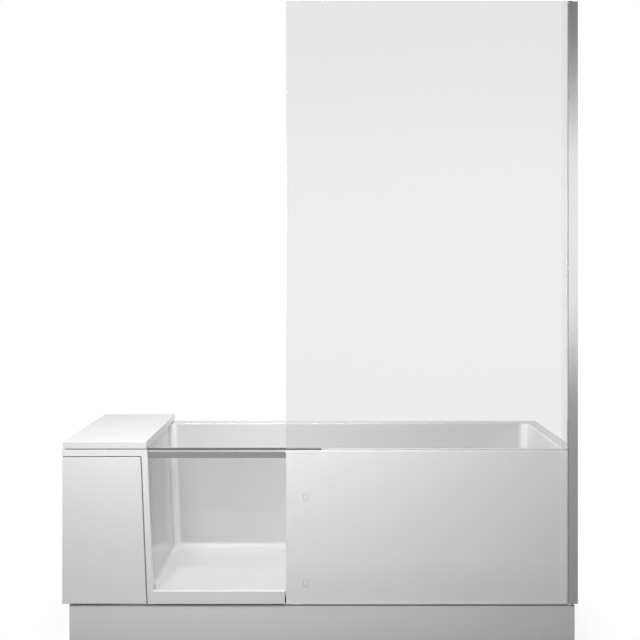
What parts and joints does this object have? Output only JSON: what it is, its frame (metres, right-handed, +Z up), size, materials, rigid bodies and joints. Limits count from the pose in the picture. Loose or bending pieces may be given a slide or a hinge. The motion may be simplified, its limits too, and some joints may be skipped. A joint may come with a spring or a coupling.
{
  "type": "shower bath",
  "caption": "Walk-in shower bath: white bath shell with a glass door that opens inwards, a hinged seat lid over one end, and a full-height glass screen in a chrome wall profile.",
  "frame": {"origin": "on the floor, under the middle of the bath's length and depth", "axes": "+Z up, +X along the bath from the lid end to the wall profile, +Y from the room to the rear wall"},
  "size_m": [1.7, 0.75, 2.12],
  "materials": {
    "acrylic_white": "gloss",
    "cladding_white": "satin",
    "panel_white": "gloss",
    "clear_glass": "polished",
    "chrome": "polished",
    "satin_metal": "satin",
    "pin_steel": "turned",
    "frame_steel": "zinc plated",
    "clear_seal": "clear",
    "grey_rubber": "matt",
    "grey_plastic": "moulded",
    "base_wood": "sealed board"
  },
  "bodies": {
    "bath": {"tub_shell": "acrylic_white", "end_frame": "acrylic_white", "access_panel": "cladding_white", "end_panel": "cladding_white", "plinth_front": "cladding_white", "plinth_end": "cladding_white", "front_panel": "panel_white", "screen_glass": "clear_glass", "wall_profile": "chrome", "profile_cover": "chrome", "profile_cap": "chrome", "waste_flange": "chrome", "hinge_brackets": "satin_metal", "hinge_pins": "pin_steel", "lid_pins": "pin_steel", "lid_hinge_brackets": "pin_steel", "frame_rails": "frame_steel", "frame_crossbars": "frame_steel", "corner_posts": "frame_steel", "ledge_brackets": "frame_steel", "pane_ledge": "frame_steel", "profile_gaskets": "clear_seal", "screen_strip": "clear_seal", "lid_buffers": "grey_rubber", "waste_washer": "grey_rubber", "lock_guide": "grey_plastic", "levelling_feet": "grey_plastic", "panel_clips": "grey_plastic", "plinth_clips": "grey_plastic", "trap": "grey_plastic", "overflow_body": "grey_plastic", "overflow_pipe": "grey_plastic", "base_board": "base_wood"},
    "door": {"door_glass": "clear_glass", "door_top_rail": "satin_metal", "door_cap": "satin_metal", "door_stile": "satin_metal", "door_seal": "clear_seal", "hinge_knuckles": "satin_metal", "hinge_bushes": "grey_plastic"},
    "seat_lid": {"lid": "acrylic_white"},
    "door_bolt": {"lock_bolt": "pin_steel", "lock_knob": "grey_plastic"},
    "overflow_handle": {"overflow_knob": "chrome"},
    "waste_plug": {"plug": "chrome"}
  },
  "joints": [
    {"name": "door_swing", "type": "hinge", "parent": "bath", "child": "door", "pos_m": [0.016, -0.321, 0.347], "axis": [0, 0, -1], "range_deg": [0, 175]},
    {"name": "lid_tilt", "type": "hinge", "parent": "bath", "child": "seat_lid", "pos_m": [-0.842, 0, 0.649], "axis": [0, -1, 0], "range_deg": [0, 95]},
    {"name": "bolt_slide", "type": "slide", "parent": "bath", "child": "door_bolt", "axis": [1, 0, 0], "range_m": [0, 0.018]},
    {"name": "overflow_turn", "type": "hinge", "parent": "bath", "child": "overflow_handle", "pos_m": [0.56, 0.295, 0.5], "axis": [0, -1, 0], "range_deg": [0, 90]},
    {"name": "plug_lift", "type": "slide", "parent": "bath", "child": "waste_plug", "axis": [0, 0, 1], "range_m": [0, 0.01]}
  ],
  "couplings": [
    {"joint": "plug_lift", "follows": "overflow_turn", "m_per_rad": 0.006366}
  ]
}
